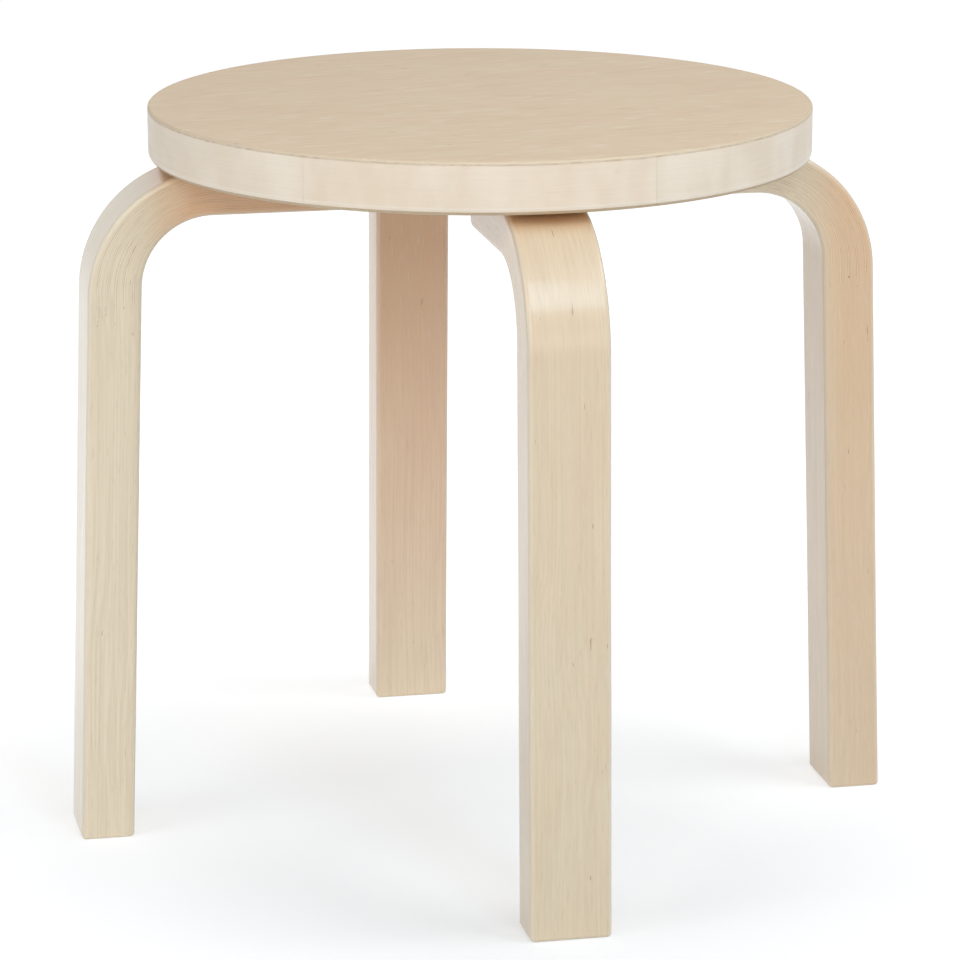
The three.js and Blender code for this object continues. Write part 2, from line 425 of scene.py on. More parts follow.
def shank_pair(share):
    """The same at a share of the shank's height, up to the bend"""
    foot = (Vector((foot_radius, 0)), Vector((foot_radius - leg_thickness, 0)))
    top = bend_pair(splay_angle)
    return foot[0].lerp(top[0], share), foot[1].lerp(top[1], share)


def arm_pair(distance):
    """The same at a distance from the arm's end"""
    x = arm_end + distance
    return Vector((x, underside)), Vector((x, arm_underside + rounding(distance, arm_nose_radius)))


def shank_share(height, thickness_share):
    """The share of the shank's height at which a line in its thickness is at a height"""
    outer, inner = bend_pair(splay_angle)
    return height / outer.lerp(inner, thickness_share).y


def sections(shank_shares, foot_inset):
    """The leg's sections from some shares of the shank's height, round the bend, to the arm's end"""
    pairs = [shank_pair(share) for share in shank_shares]
    pairs += [bend_pair(angle) for angle in steps_between(splay_angle, quarter_turn, bend_steps)]
    nose_angles = steps_between(0, quarter_turn, nose_steps)
    nose = [arm_nose_radius * (1 - math.sin(angle)) for angle in nose_angles]
    pairs += [arm_pair(distance) for distance in nose]
    insets = [rounding(pair[0].y, foot_inset) for pair in pairs]
    insets[-len(nose):] = [rounding(distance, end_ease) for distance in nose]
    middles = [outer.lerp(inner, 0.5) for outer, inner in pairs]
    along = middles[0].y
    found = []
    for i, (outer, inner) in enumerate(pairs):
        along += (middles[i] - middles[max(i - 1, 0)]).length
        found.append(Section(outer, inner, along, insets[i]))
    return found


def kerf_share(index):
    """Where a kerf lies in the leg, as a share of its thickness in from the outer face"""
    return (index + 1) / (strip_count + 1)


def kerf_ends(leg):
    """The height at which each kerf of a leg stops, as the strips in the frame show"""
    names = [f"{leg}_veneer_strip_{index + 1}" for index in range(strip_count)]
    return [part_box(name)[0][2] - glue_gap for name in names]


def leg_place(section, share, depth, across, turn):
    """A point of the leg: a share of its thickness in from the outer face, and a depth past that"""
    inward = (section.inner - section.outer).normalized()
    x, z = section.outer.lerp(section.inner, share) + inward * depth
    return Matrix.Rotation(turn, 3, "Z") @ Vector((x, across, z))


def leg_painted_shading(leg_number, place, share):
    """The painted light and shade that a leg gains on its way up, beyond its bend and at the seat, at
    a share of its thickness in from the outer face: darker and redder for shade, paler for light"""
    up = share_between(place.z, under_seat_shade_start[leg_number], under_seat_shade_end[leg_number])
    arm_shading_end = arm_shading_start - arm_shading_reach
    inward = share_between(math.hypot(place.x, place.y), arm_shading_start, arm_shading_end)
    contact_share = share_between(place.z, underside - 2 * contact_shade_reach, underside - contact_shade_reach)
    tone = under_seat_shade[leg_number] * up ** under_seat_shade_curve + arm_shade_and_light[leg_number] * inward
    outer_shading_share = outer_face_shading_shares[leg_number]
    tone *= outer_shading_share + (1 - outer_shading_share) * share
    return tone + contact_shade[leg_number] * contact_share


def leg_columns(inset):
    """(share, depth, across, wear, kerf) down one side of the leg's section. A kerf has four
    columns: the wood beside it and its edge, on each side."""
    corner = leg_edge_radius - inset
    side = leg_width / 2 - inset
    outer = []
    inner = []
    for angle in steps_between(0, quarter_turn, fillet_steps):
        depth = inset + corner * (1 - math.cos(angle))
        across = side - corner * (1 - math.sin(angle))
        outer.append((0, depth, across, math.sin(2 * angle), None))
        inner.append((1, -depth, across, math.sin(2 * angle), None))
    kerfs = []
    for index in range(strip_count):
        reach = kerf_width / 2
        for depth in (-reach - glue_stain, -reach, reach, reach + glue_stain):
            kerf = index if abs(depth) == reach else None
            kerfs.append((kerf_share(index), depth, side, 0, kerf))
    return outer + kerfs + inner[::-1]


def leg_rows(blank, path, kerf_starts, leg_number):
    """Two rows of vertices for each section, down its +Y side and down its -Y side"""
    turn = quarter_turn * leg_number
    rows = []
    for number, section in enumerate(path):
        sides = []
        for way in (1, -1):
            row = []
            for share, depth, across, wear_and_highlight, kerf in leg_columns(section.inset):
                place = leg_place(section, share, depth, way * across, turn)
                grain = (section.along, share * leg_thickness + depth, way * across)
                glued = kerf is not None and number >= kerf_starts[kerf]
                painted_shading = leg_painted_shading(leg_number, place, share)
                row.append(blank.vertex(place, grain, wear_and_highlight, float(glued), painted_shading))
            sides.append(row)
        rows.append(sides)
    return rows


def join_leg_rows(blank, rows, kerf_starts):
    """The faces of the shank, bend and arm, with the kerfs open from where each starts"""
    kerf_columns = [column[-1] for column in leg_columns(0)]
    last = len(kerf_columns) - 1
    for number, (low, high) in enumerate(zip(rows, rows[1:])):
        is_arm = number == arm_row(rows)
        for i in range(last):
            kerf = kerf_columns[i]
            is_kerf = kerf is not None and kerf == kerf_columns[i + 1]
            is_open = is_kerf and number >= kerf_starts[kerf]
            if not is_open:
                for side in (0, 1):
                    blank.face(low[side][i], low[side][i + 1], high[side][i + 1], high[side][i])
                continue
            for edge in (i, i + 1):
                blank.face(low[0][edge], low[1][edge], high[1][edge], high[0][edge])
            if number == kerf_starts[kerf]:
                blank.face(low[0][i], low[0][i + 1], low[1][i + 1], low[1][i])
        blank.face(low[0][0], low[1][0], high[1][0], high[0][0])
        if not is_arm:
            blank.face(low[0][last], low[1][last], high[1][last], high[0][last])
    for i in range(last):
        blank.face(rows[0][0][i], rows[0][0][i + 1], rows[0][1][i + 1], rows[0][1][i])
        if kerf_columns[i] is None or kerf_columns[i] != kerf_columns[i + 1]:
            blank.face(rows[-1][0][i], rows[-1][0][i + 1], rows[-1][1][i + 1], rows[-1][1][i])


def arm_row(rows):
    """The number of the row where the arm's straight stretch starts"""
    return len(rows) - nose_steps - 2


def screw_box(leg, number):
    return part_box(f"{leg}_screw_{number + 1}")


def screw_centre(leg, number):
    """The place of a screw's axis, seen from above"""
    low, high = screw_box(leg, number)
    return Vector(((low[0] + high[0]) / 2, (low[1] + high[1]) / 2))


def arm_pockets(blank, rows, path, leg, turn):
    """The arm's level underside, with a countersunk pocket for each screw"""
    number = arm_row(rows)
    start = path[number]
    end = path[number + 1]
    low, high = rows[number:number + 2]
    corners = [low[0][-1], low[1][-1], high[1][-1], high[0][-1]]
    grain_rate = (end.along - start.along) / (start.inner.x - end.inner.x)
    unturn = Matrix.Rotation(-turn, 2)
    radius = head_radius + pocket_clearance
    lip_z = arm_underside + screw_sink + head_lip
    floor_z = lip_z + head_height * (radius - pocket_floor_radius) / (head_radius - shank_radius)
    levels = ((radius, arm_underside), (radius, lip_z), (pocket_floor_radius, floor_z))
    mouths = []
    for screw in range(screw_count):
        centre = screw_centre(leg, screw)
        rings = []
        for ring_radius, height in levels:
            ring = []
            for i in range(screw_steps):
                angle = full_turn * i / screw_steps
                x = centre.x + ring_radius * math.cos(angle)
                y = centre.y + ring_radius * math.sin(angle)
                arm_x, arm_y = unturn @ Vector((x, y))
                along = start.along + (start.inner.x - arm_x) * grain_rate
                into = leg_thickness - (height - arm_underside)
                ring.append(blank.vertex((x, y, height), (along, into, arm_y)))
            rings.append(ring)
        blank.bridge(rings[0], rings[1])
        blank.bridge(rings[1], rings[2])
        blank.face(*rings[2])
        mouths.append(rings[0])
    blank.fill_level(corners, mouths)


def make_leg(leg, leg_number, material):
    blank = Blank(first_leg_log_place + leg_number, leg_tones_and_light[leg_number])
    turn = quarter_turn * leg_number
    starts = [shank_share(end, kerf_share(i)) for i, end in enumerate(kerf_ends(leg))]
    tail = shank_share(glue_tail, 0.5)
    foot_angles = steps_between(0, quarter_turn, fillet_steps)
    foot = [shank_share(foot_ease * (1 - math.cos(angle)), 0.5) for angle in foot_angles]
    shares = sorted(foot + starts + [start - tail for start in starts])
    path = sections(shares, foot_ease)
    kerf_starts = [shares.index(start) for start in starts]
    rows = leg_rows(blank, path, kerf_starts, leg_number)
    join_leg_rows(blank, rows, kerf_starts)
    arm_pockets(blank, rows, path, leg, turn)
    blank.finish(f"bent_{leg}", material, "leg_birch", leg)


def make_strip(leg, leg_number, index, material):
    """One veneer strip, flush with the leg's sides, with glue along its edges"""
    log_place = first_strip_log_place + strip_count * leg_number + index
    blank = Blank(log_place, leg_tones_and_light[leg_number] - strip_paleness)
    turn = quarter_turn * leg_number
    share = kerf_share(index)
    start = shank_share(kerf_ends(leg)[index] + glue_gap, share)
    reach = strip_thickness / 2
    columns = [(-reach, 1), (-reach + glue_stain, 0), (reach - glue_stain, 0), (reach, 1)]
    rings = []
    for section in sections([start], 0):
        ring = []
        for way in (1, -1):
            across = way * (leg_width / 2 - section.inset)
            for depth, glue in columns[::way]:
                place = leg_place(section, share, depth, across, turn)
                grain = (section.along, share * leg_thickness + depth, across)
                painted_shading = leg_painted_shading(leg_number, place, share)
                ring.append(blank.vertex(place, grain, 0, glue, painted_shading))
        rings.append(ring)
    for first, second in zip(rings, rings[1:]):
        blank.bridge(first, second)
    for ring in (rings[0], rings[-1]):
        blank.bridge(ring[:len(columns)], ring[:len(columns) - 1:-1], closed=False)
    node = f"{leg}_veneer_strip_{index + 1}"
    blank.finish(f"{leg}_strip_{index + 1}", material, "strip_birch", node)


# Screws, with the point up

def screw_profile(low, high):
    """(radius, height) from the head's face to the point"""
    cone_top = low + head_lip + head_height
    profile = [
        (head_radius - head_ease, low),
        (head_radius, low + head_ease),
        (head_radius, low + head_lip),
        (shank_radius, cone_top),
    ]
    height = cone_top + thread_pitch
    for ridge in range(thread_count):
        profile.append((thread_root, height))
        profile.append((shank_radius, height + thread_pitch / 2))
        height += thread_pitch
    profile += [(thread_root, height), (tip_radius, high)]
    return profile


def cross_outline(half_width, half_span):
    """The corners of a cross, anticlockwise from its right arm"""
    arm = [
        Vector((half_span, -half_width)),
        Vector((half_span, half_width)),
        Vector((half_width, half_width)),
    ]
    turns = [Matrix.Rotation(quarter_turn * i, 2) for i in range(4)]
    return [turn @ corner for turn in turns for corner in arm]


def make_screw(leg, number, screw_number, material):
    blank = Blank()
    low, high = screw_box(leg, number)
    centre = screw_centre(leg, number)
    profile = screw_profile(low[2], high[2])

    def ring_of(points, height):
        return [
            blank.vertex((centre.x + x, centre.y + y, height), (x, height, y))
            for x, y in points
        ]

    rings = []
    for radius, height in profile:
        angles = [full_turn * i / screw_steps for i in range(screw_steps)]
        circle = [(radius * math.cos(angle), radius * math.sin(angle)) for angle in angles]
        rings.append(ring_of(circle, height))
    for first, second in zip(rings, rings[1:]):
        blank.bridge(first, second)
    blank.face(*rings[-1])
    spin = Matrix.Rotation(screw_turn_step * screw_number, 2)
    mouth = [spin @ point for point in cross_outline(recess_width / 2, recess_span / 2)]
    cross_mouth = ring_of(mouth, low[2])
    cross_floor = ring_of([point * recess_taper_share for point in mouth], low[2] + recess_depth)
    blank.bridge(cross_mouth, cross_floor)
    blank.face(*cross_floor)
    blank.fill_level(rings[0], [cross_mouth])
    name = f"{leg}_screw_{number + 1}"
    blank.finish(f"{leg}_wood_screw_{number + 1}", material, "screw_steel", name)


# Materials

# The curve by which a screen's values stand for light
colour_depth = 255
curve_knee = 0.04045
curve_slope = 12.92
curve_lift = 0.055
curve_power = 2.4

# Colours that every birch piece shares
glue_and_shade_colour = (158, 114, 76)
fleck_colour = (150, 112, 76)

# How much of red, green and blue is left in the darker marks, and how far the paler ones go
# towards white. The deep and the bleached colours also paint the legs' shade and light.
deep_shares = (1, 0.86, 0.74)
streak_shares = (0.9, 0.9, 0.9)
dash_shares = (0.86, 0.81, 0.75)
pale_and_lit_shares = (0.75, 0.52, 0.34)
ray_shares = (0.35, 0.35, 0.35)

# Sizes of the marks, along the grain and across it
patch_size = (75 * mm, 17 * mm)
sheet_patch_size = (60 * mm, 30 * mm)
rim_patch_size = (22 * mm, 50 * mm)
dash_size = (9 * mm, 0.8 * mm)
sheet_dash_size = (18 * mm, 2.4 * mm)
streak_size = (160 * mm, 1.2 * mm, 1.2 * mm)
fleck_size = (11 * mm, 1.2 * mm, 1.6 * mm)
wander_size = (160 * mm, 50 * mm, 50 * mm)
wander_reach = 12 * mm

# Noise levels: the middle one, and those at which each mark begins and is full
noise_middle = 0.5
patch_limits = (0.34, 0.66)
streak_limits = (0.32, 0.68)
dash_limits = (0.6, 0.78)
ray_limits = (0.4, 0.24)
fleck_limits = (0.76, 0.82)

# Relief and lacquer of the birch
dash_relief = 0.5
grain_bump = 0.25
grain_relief = 0.06 * mm
roughness_drop = 0.05
roughness_rise = 0.08
lacquer_roughness = 0.23
lacquer_ior = 1.55

# Rubbed edges, which on the seat also carry painted highlights, and glue that comes and goes along
# a joint
rub_and_highlight_size = (20 * mm, 6 * mm, 6 * mm)
rub_and_highlight_shares = (0.55, 1.0)
glue_patch_size = (9 * mm, 4 * mm, 4 * mm)
glue_patch_limits = (0.47, 0.64)
thin_glue_share = 0.2

# Zinc plate
zinc_cloud_size = (1.5 * mm, 1.5 * mm, 1.5 * mm)
zinc_cloud_limits = (0.35, 0.7)
zinc_turning_size = (4 * mm, 0.12 * mm, 4 * mm)
clear_zinc_colour = (206, 205, 200)
cloudy_zinc_colour = (176, 176, 174)
clear_zinc_roughness = 0.26
cloudy_zinc_roughness = 0.44
zinc_bump = 0.3
zinc_relief = 0.05 * mm

# Sockets of the mix node that carry colours
MIX_SHARE = 0
MIX_FIRST = 6
MIX_SECOND = 7
MIX_RESULT = 2

# Kinds of a group's sockets
FLOAT = "NodeSocketFloat"
VECTOR = "NodeSocketVector"
COLOUR = "NodeSocketColor"

white = (1, 1, 1, 1)


def linear(share):
    """The light that a screen's value stands for"""
    if share <= curve_knee:
        return share / curve_slope
    return ((share + curve_lift) / (1 + curve_lift)) ** curve_power


def paint(red, green, blue):
    """A colour for a shader, from the red, green and blue that a screen shows"""
    return (*(linear(channel / colour_depth) for channel in (red, green, blue)), 1)


def darkened(colour, shares):
    """A colour with a share of each channel left"""
    return [channel * share for channel, share in zip(colour, shares)]


def whitened(colour, shares):
    """A colour whose channels each go a share of the way to white"""
    return [channel + (colour_depth - channel) * share for channel, share in zip(colour, shares)]


class Nodes:
    """Adds nodes to a shader tree. An input that is another node's socket is linked to it."""

    def __init__(self, tree):
        self.tree = tree
        tree.nodes.clear()

    def add(self, kind, inputs=None, **settings):
        node = self.tree.nodes.new(kind)
        for name, value in settings.items():
            setattr(node, name, value)
        for name, value in (inputs or {}).items():
            self.feed(node.inputs[name], value)
        return node

    def feed(self, socket, value):
        if isinstance(value, bpy.types.NodeSocket):
            self.tree.links.new(value, socket)
        else:
            socket.default_value = value

    def maths(self, operation, first, second=0.0):
        return self.add("ShaderNodeMath", {0: first, 1: second}, operation=operation).outputs[0]

    def stretched(self, vector, lengths):
        """The vector counted in units of three lengths"""
        return self.add("ShaderNodeVectorMath", {0: vector, 1: lengths}, operation="DIVIDE").outputs[0]

    def noise(self, vector, detail):
        inputs = {"Vector": vector, "Scale": 1.0, "Detail": detail}
        return self.add("ShaderNodeTexNoise", inputs).outputs[0]

    def between(self, value, limits):
        """0 up to the first limit, 1 from the second, and smooth between"""
        inputs = {"Value": value, "From Min": limits[0], "From Max": limits[1]}
        return self.add("ShaderNodeMapRange", inputs, interpolation_type="SMOOTHSTEP").outputs[0]

    def mix(self, share, first, second):
        node = self.add("ShaderNodeMix", data_type="RGBA")
        self.feed(node.inputs[MIX_SHARE], share)
        self.feed(node.inputs[MIX_FIRST], first)
        self.feed(node.inputs[MIX_SECOND], second)
        return node.outputs[MIX_RESULT]

    def attribute(self, name):
        return self.add("ShaderNodeAttribute", attribute_name=name)


def new_group(name, inputs, outputs):
    """A node group with named inputs, each with its kind and a value, and named outputs"""
    tree = bpy.data.node_groups.new(name, "ShaderNodeTree")
    for socket_name, (kind, value) in inputs.items():
        socket = tree.interface.new_socket(socket_name, in_out="INPUT", socket_type=kind)
        if value is not None:
            socket.default_value = value
    for socket_name, kind in outputs.items():
        tree.interface.new_socket(socket_name, in_out="OUTPUT", socket_type=kind)
    nodes = Nodes(tree)
    return nodes, nodes.add("NodeGroupInput").outputs, nodes.add("NodeGroupOutput").inputs


def birch_grain_group():
    """Masks for sliced birch: soft patches, fine streaks, short dashes, brown flecks and relief"""
    masks = ("Patches", "Streaks", "Dashes", "Rays", "Flecks", "Relief")
    nodes, taken, given = new_group(
        "birch grain",
        {
            "Place": (VECTOR, None),
            "Patch Length": (FLOAT, patch_size[0]),
            "Patch Width": (FLOAT, patch_size[1]),
            "Dash Length": (FLOAT, dash_size[0]),
            "Dash Width": (FLOAT, dash_size[1]),
        },
        {mask: FLOAT for mask in masks},
    )
    wander = nodes.noise(nodes.stretched(taken["Place"], wander_size), detail=1.0)
    drift = nodes.maths("MULTIPLY", nodes.maths("SUBTRACT", wander, noise_middle), wander_reach)
    sway = nodes.add("ShaderNodeCombineXYZ", {"Y": drift, "Z": drift}).outputs[0]
    place = nodes.add("ShaderNodeVectorMath", {0: taken["Place"], 1: sway}, operation="ADD").outputs[0]

    def spans(name):
        """A mark's length along the grain and its width both ways across it"""
        width = taken[f"{name} Width"]
        inputs = {"X": taken[f"{name} Length"], "Y": width, "Z": width}
        return nodes.add("ShaderNodeCombineXYZ", inputs).outputs[0]

    patches = nodes.noise(nodes.stretched(place, spans("Patch")), detail=2.0)
    streaks = nodes.noise(nodes.stretched(place, streak_size), detail=3.0)
    dash_noise = nodes.noise(nodes.stretched(place, spans("Dash")), detail=0.5)
    fleck_noise = nodes.noise(nodes.stretched(place, fleck_size), detail=1.0)

    nodes.feed(given["Patches"], nodes.between(patches, patch_limits))
    nodes.feed(given["Streaks"], nodes.between(streaks, streak_limits))
    nodes.feed(given["Dashes"], nodes.between(dash_noise, dash_limits))
    nodes.feed(given["Rays"], nodes.between(dash_noise, ray_limits))
    nodes.feed(given["Flecks"], nodes.between(fleck_noise, fleck_limits))
    relief = nodes.maths("SUBTRACT", streaks, nodes.maths("MULTIPLY", dash_noise, dash_relief))
    nodes.feed(given["Relief"], relief)
    return nodes.tree


def board_tone_group():
    """A wood colour, darker and redder where the tone is above 0 and paler where it is below, which on
    the legs paints shade and light
    """
    nodes, taken, given = new_group(
        "board tone",
        {
            "Colour": (COLOUR, white),
            "Deep Colour": (COLOUR, white),
            "Pale And Lit Colour": (COLOUR, white),
            "Tone": (FLOAT, 0.0),
        },
        {"Colour": COLOUR},
    )
    deepened = nodes.mix(taken["Tone"], taken["Colour"], taken["Deep Colour"])
    paleness = nodes.maths("MULTIPLY", taken["Tone"], -1.0)
    nodes.feed(given["Colour"], nodes.mix(paleness, deepened, taken["Pale And Lit Colour"]))
    return nodes.tree


def worn_and_highlit_edge_group():
    """A wood colour with its eased edges worn paler and glue showing in its joints. The paler colour
    also paints highlights on the seat's top edge and the rim's router lip, and the glue colour a
    shade line at the rim's router step.
    """
    nodes, taken, given = new_group(
        "worn and highlit edges, glue and shade lines",
        {
            "Colour": (COLOUR, white),
            "Rubbed And Highlit Colour": (COLOUR, white),
            "Glue Colour": (COLOUR, white),
            "Place": (VECTOR, None),
            "Wear And Highlight": (FLOAT, 0.0),
            "Glue": (FLOAT, 0.0),
        },
        {"Colour": COLOUR},
    )
    patchy = nodes.noise(nodes.stretched(taken["Place"], rub_and_highlight_size), detail=2.0)
    rub_and_highlight = nodes.add("ShaderNodeMapRange", {
        "Value": patchy,
        "To Min": rub_and_highlight_shares[0],
        "To Max": rub_and_highlight_shares[1],
    }).outputs[0]
    rubbed_and_highlit = nodes.maths("MULTIPLY", taken["Wear And Highlight"], rub_and_highlight)
    broken = nodes.noise(nodes.stretched(taken["Place"], glue_patch_size), detail=2.0)
    gap = nodes.add("ShaderNodeMapRange", {
        "Value": broken,
        "From Min": glue_patch_limits[0],
        "From Max": glue_patch_limits[1],
        "To Min": thin_glue_share,
    }).outputs[0]
    glued = nodes.maths("MULTIPLY", taken["Glue"], gap)
    colour = nodes.mix(rubbed_and_highlit, taken["Colour"], taken["Rubbed And Highlit Colour"])
    nodes.feed(given["Colour"], nodes.mix(glued, colour, taken["Glue Colour"]))
    return nodes.tree


def birch(name, groups, pale, warm, place=None, patch=patch_size, dash=dash_size,
          patch_share=0.7, streak_share=0.28, dash_share=0.17, ray_share=0.12, fleck_share=0.6,
          deep=None, rubbed_and_highlit=None, rubbed_and_highlit_share=0.5, base_roughness=0.5, gloss=0.3, coat=1.0):
    """A lacquered birch: a pale and a warm tone, streaked, dashed and flecked along the grain.
    The grain follows the piece's own vertices, or a named output of the texture coordinates."""
    material = bpy.data.materials.new(name)
    material.use_nodes = True
    nodes = Nodes(material.node_tree)
    if place is None:
        place = nodes.attribute("grain").outputs["Vector"]
    else:
        place = nodes.add("ShaderNodeTexCoord").outputs[place]
    grain = nodes.add("ShaderNodeGroup", node_tree=groups["grain"])
    nodes.feed(grain.inputs["Place"], place)
    for size_name, (length, width) in {"Patch": patch, "Dash": dash}.items():
        grain.inputs[f"{size_name} Length"].default_value = length
        grain.inputs[f"{size_name} Width"].default_value = width
    masks = grain.outputs

    def share_of(mask, share):
        return nodes.maths("MULTIPLY", masks[mask], share)

    colour = nodes.mix(share_of("Patches", patch_share), paint(*pale), paint(*warm))
    toned = nodes.add("ShaderNodeGroup", node_tree=groups["tone"])
    nodes.feed(toned.inputs["Colour"], colour)
    nodes.feed(toned.inputs["Deep Colour"], paint(*(deep or darkened(warm, deep_shares))))
    nodes.feed(toned.inputs["Pale And Lit Colour"], paint(*whitened(pale, pale_and_lit_shares)))
    nodes.feed(toned.inputs["Tone"], nodes.attribute("tone").outputs["Fac"])
    streak_colour = paint(*darkened(warm, streak_shares))
    dash_colour = paint(*darkened(warm, dash_shares))
    ray_colour = paint(*whitened(pale, ray_shares))
    colour = nodes.mix(share_of("Streaks", streak_share), toned.outputs["Colour"], streak_colour)
    colour = nodes.mix(share_of("Dashes", dash_share), colour, dash_colour)
    colour = nodes.mix(share_of("Rays", ray_share), colour, ray_colour)
    colour = nodes.mix(share_of("Flecks", fleck_share), colour, paint(*fleck_colour))

    wear_and_highlight = nodes.maths("MULTIPLY", nodes.attribute("wear_and_highlight").outputs["Fac"], rubbed_and_highlit_share)
    edges = nodes.add("ShaderNodeGroup", node_tree=groups["edges"])
    nodes.feed(edges.inputs["Colour"], colour)
    nodes.feed(edges.inputs["Rubbed And Highlit Colour"], paint(*rubbed_and_highlit) if rubbed_and_highlit else ray_colour)
    nodes.feed(edges.inputs["Glue Colour"], paint(*glue_and_shade_colour))
    nodes.feed(edges.inputs["Place"], place)
    nodes.feed(edges.inputs["Wear And Highlight"], wear_and_highlight)
    nodes.feed(edges.inputs["Glue"], nodes.attribute("glue").outputs["Fac"])

    roughness = nodes.add("ShaderNodeMapRange", {
        "Value": masks["Streaks"],
        "To Min": base_roughness - roughness_drop,
        "To Max": base_roughness + roughness_rise,
    }).outputs[0]
    bump = nodes.add("ShaderNodeBump", {
        "Height": masks["Relief"],
        "Strength": grain_bump,
        "Distance": grain_relief,
    })
    shader = nodes.add("ShaderNodeBsdfPrincipled", {
        "Base Color": edges.outputs["Colour"],
        "Roughness": roughness,
        "Normal": bump.outputs[0],
        "Specular IOR Level": gloss,
        "Coat Weight": coat,
        "Coat Roughness": lacquer_roughness,
        "Coat IOR": lacquer_ior,
    })
    nodes.add("ShaderNodeOutputMaterial", {"Surface": shader.outputs[0]})
    return material


def zinc_plate():
    """Zinc-plated steel, a little cloudy and finely turned round the screw's axis"""
    material = bpy.data.materials.new("zinc plate")
    material.use_nodes = True
    nodes = Nodes(material.node_tree)
    place = nodes.attribute("grain").outputs["Vector"]
    cloud_noise = nodes.noise(nodes.stretched(place, zinc_cloud_size), detail=3.0)
    cloud = nodes.between(cloud_noise, zinc_cloud_limits)
    turning = nodes.noise(nodes.stretched(place, zinc_turning_size), detail=1.0)
    colour = nodes.mix(cloud, paint(*clear_zinc_colour), paint(*cloudy_zinc_colour))
    roughness = nodes.add("ShaderNodeMapRange", {
        "Value": cloud,
        "To Min": clear_zinc_roughness,
        "To Max": cloudy_zinc_roughness,
    }).outputs[0]
    bump = nodes.add("ShaderNodeBump", {
        "Height": turning,
        "Strength": zinc_bump,
        "Distance": zinc_relief,
    })
    shader = nodes.add("ShaderNodeBsdfPrincipled", {
        "Base Color": colour,
        "Metallic": 1.0,
        "Roughness": roughness,
        "Normal": bump.outputs[0],
    })
    nodes.add("ShaderNodeOutputMaterial", {"Surface": shader.outputs[0]})
    return material


def make_materials():
    groups = {"grain": birch_grain_group(), "tone": board_tone_group(), "edges": worn_and_highlit_edge_group()}
    sheet = {"patch": sheet_patch_size, "dash": sheet_dash_size, "base_roughness": 0.55, "coat": 0}
    return {
        # The top veneer's rubbed colour, at full share, also paints a highlight along its rounded edge
        "top veneer": birch(
            "top veneer", groups, (224, 202, 171), (224, 196, 167), streak_share=0.14,
            dash_share=0.18, ray_share=0.4, rubbed_and_highlit=(222, 209, 188), rubbed_and_highlit_share=1.0,
            gloss=0.25, **sheet,
        ),
        "underside veneer": birch(
            "underside veneer", groups, (206, 187, 157), (202, 178, 148), **sheet,
        ),
        "rim": birch(
            "rim birch", groups, (239, 227, 210), (230, 215, 194), patch=rim_patch_size,
            patch_share=0.8, streak_share=0.08, dash_share=0.06, ray_share=0.1, fleck_share=0.15,
            rubbed_and_highlit_share=0.8, coat=0.15,
        ),
        "leg": birch("leg birch", groups, (221, 206, 178), (219, 200, 171)),
        # The back leg's own copy of the leg birch: its paler colour paints light on the leg, and its
        # redder deep colour the painted shade under the seat
        "back leg painted light and shade": birch(
            "back leg painted light and shade birch", groups, (242, 212, 181), (238, 205, 174), deep=(213, 166, 123),
        ),
        "strip": birch("strip birch", groups, (229, 212, 184), (226, 206, 175), dash_share=0.1),
        "core": birch("core board", groups, (200, 174, 134), (190, 162, 124), place="Object"),
        "screw": zinc_plate(),
    }


# Stage: camera, floor, lamps and surroundings

# Camera, with its lens and film in the millimetres that its settings take
camera_distance = 2496.9 * mm
camera_height = 854.3 * mm
camera_azimuth = math.radians(-102)
camera_pitch = math.radians(14.737)
camera_lens = 165.43
camera_film = 36

# Floor, and the glow that lifts it where it is seen, weaker under the stool than further off
floor_reach = 9000 * mm
floor_colour = (0.92, 0.92, 0.92, 1)
shaded_floor_colour = (0.545, 0.56, 0.578, 1)
glow_middle = (0, -130 * mm, 0)
weak_glow_reach = 120 * mm
full_glow_reach = 550 * mm
weak_glow = 0.465
full_glow = 0.86

# Lamps: directions in degrees, sizes in metres and powers in watts
ambient_level = 0.2
cool_light = (0.62, 0.84, 1)
warm_light = (1, 0.965, 0.93)
white_light = (1, 1, 1)
Softbox = namedtuple("Softbox", "name azimuth elevation distance width height power colour")
softboxes = (
    Softbox("high front strip", -78, 42, 2.4, 0.4, 1.0, 8.4, cool_light),
    Softbox("front softbox", -102, 22, 2.6, 1.6, 1.0, 15, warm_light),
    Softbox("low front softbox", -98, 6, 2.8, 2.8, 0.6, 6, white_light),
    Softbox("low left softbox", -168, 9, 2.6, 1.0, 0.8, 5, white_light),
    Softbox("high left softbox", -151, 35, 2.4, 1.2, 1.2, 11.5, white_light),
    Softbox("high right softbox", -30, 48, 2.2, 1.2, 1.2, 20, white_light),
    Softbox("back softbox", 75, 30, 2.6, 1.2, 1.2, 3.5, white_light),
)


def make_camera():
    data = bpy.data.cameras.new("camera")
    data.lens = camera_lens
    data.sensor_width = camera_film
    camera = bpy.data.objects.new("camera", data)
    camera.location = (
        camera_distance * math.cos(camera_azimuth),
        camera_distance * math.sin(camera_azimuth),
        camera_height,
    )
    camera.rotation_euler = (quarter_turn - camera_pitch, 0, camera_azimuth + quarter_turn)
    bpy.context.scene.collection.objects.link(camera)
    bpy.context.scene.camera = camera


def seen_directly(nodes):
    """1 where the camera sees a surface itself or in a mirror or glass, 0 where light falls from it"""
    path = nodes.add("ShaderNodeLightPath").outputs
    direct = nodes.maths("MAXIMUM", path["Is Camera Ray"], path["Is Glossy Ray"])
    return nodes.maths("MAXIMUM", direct, path["Is Transmission Ray"])


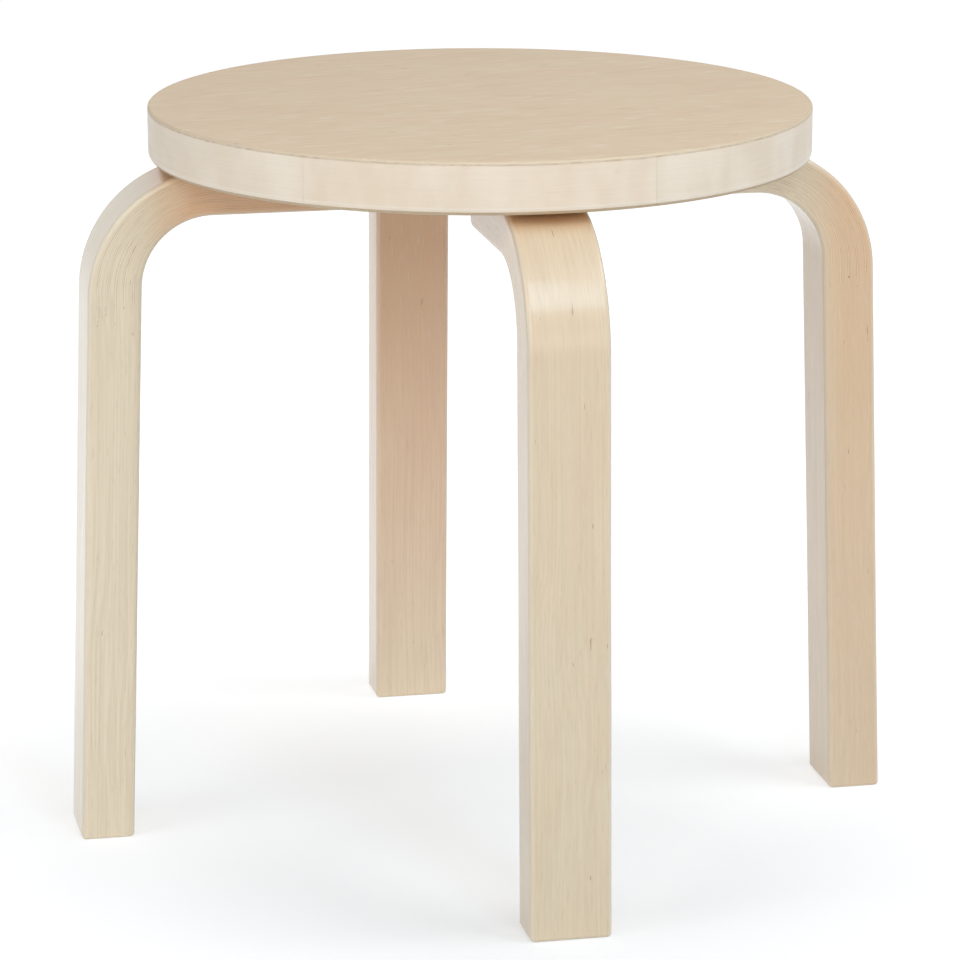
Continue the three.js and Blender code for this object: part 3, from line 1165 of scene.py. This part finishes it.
def floor_material():
    """A pale floor: plain where light bounces off it, lifted by a glow where it is seen, and
    see-through from below"""
    material = bpy.data.materials.new("pale floor")
    material.use_nodes = True
    nodes = Nodes(material.node_tree)
    place = nodes.add("ShaderNodeTexCoord").outputs["Object"]
    distance = nodes.add(
        "ShaderNodeVectorMath", {0: place, 1: glow_middle}, operation="DISTANCE",
    ).outputs["Value"]
    glow_level = nodes.add("ShaderNodeMapRange", {
        "Value": distance,
        "From Min": weak_glow_reach,
        "From Max": full_glow_reach,
        "To Min": weak_glow,
        "To Max": full_glow,
    }).outputs[0]
    bounced = nodes.add("ShaderNodeBsdfDiffuse", {"Color": floor_colour})
    shaded = nodes.add("ShaderNodeBsdfDiffuse", {"Color": shaded_floor_colour})
    glow = nodes.add("ShaderNodeEmission", {"Strength": glow_level})
    seen = nodes.add("ShaderNodeAddShader", {0: shaded.outputs[0], 1: glow.outputs[0]})
    shader = nodes.add("ShaderNodeMixShader", {
        0: seen_directly(nodes),
        1: bounced.outputs[0],
        2: seen.outputs[0],
    })
    from_below = nodes.add("ShaderNodeNewGeometry").outputs["Backfacing"]
    opened = nodes.add("ShaderNodeMixShader", {
        0: from_below,
        1: shader.outputs[0],
        2: nodes.add("ShaderNodeBsdfTransparent").outputs[0],
    })
    nodes.add("ShaderNodeOutputMaterial", {"Surface": opened.outputs[0]})
    return material


def make_floor():
    data = bpy.data.meshes.new("studio_floor")
    corners = [(x * floor_reach, y * floor_reach, 0) for x, y in ((-1, -1), (1, -1), (1, 1), (-1, 1))]
    data.from_pydata(corners, [], [(0, 1, 2, 3)])
    data.materials.append(floor_material())
    floor = bpy.data.objects.new("studio_floor", data)
    bpy.context.scene.collection.objects.link(floor)


def make_surroundings():
    world = bpy.data.worlds.new("studio")
    world.use_nodes = True
    nodes = Nodes(world.node_tree)
    strength = nodes.add(
        "ShaderNodeMapRange", {"Value": seen_directly(nodes), "To Min": ambient_level, "To Max": 1.0},
    ).outputs[0]
    sky = nodes.add("ShaderNodeBackground", {"Color": white, "Strength": strength})
    nodes.add("ShaderNodeOutputWorld", {"Surface": sky.outputs[0]})
    bpy.context.scene.world = world


def make_softbox(softbox):
    """A rectangular lamp that faces the middle of the seat's top from its direction"""
    azimuth = math.radians(softbox.azimuth)
    elevation = math.radians(softbox.elevation)
    data = bpy.data.lights.new(softbox.name, "AREA")
    data.shape = "RECTANGLE"
    data.size = softbox.width
    data.size_y = softbox.height
    data.energy = softbox.power
    data.color = softbox.colour
    lamp = bpy.data.objects.new(softbox.name, data)
    lamp.location = (
        softbox.distance * math.cos(elevation) * math.cos(azimuth),
        softbox.distance * math.cos(elevation) * math.sin(azimuth),
        stool_height + softbox.distance * math.sin(elevation),
    )
    lamp.rotation_euler = (quarter_turn - elevation, 0, azimuth + quarter_turn)
    bpy.context.scene.collection.objects.link(lamp)


# The stool

def make_stool():
    materials = make_materials()
    make_top_veneer(materials["top veneer"])
    make_underside_veneer(materials["underside veneer"])
    for index in range(rim_pieces):
        make_rim_segment(index, materials["rim"])
    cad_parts["seat_core_board"].material_slots[0].material = materials["core"]
    for leg_number, leg in enumerate(leg_names):
        # The back leg takes the birch copy painted with light and shade
        make_leg(leg, leg_number, materials["back leg painted light and shade" if leg == "back_leg" else "leg"])
        for index in range(strip_count):
            make_strip(leg, leg_number, index, materials["strip"])
        for number in range(screw_count):
            make_screw(leg, number, leg_number * screw_count + number, materials["screw"])


make_stool()
make_floor()
make_surroundings()
for softbox in softboxes:
    make_softbox(softbox)
make_camera()
bpy.context.scene.view_settings.view_transform = "Standard"


bpy.context.view_layer.update()
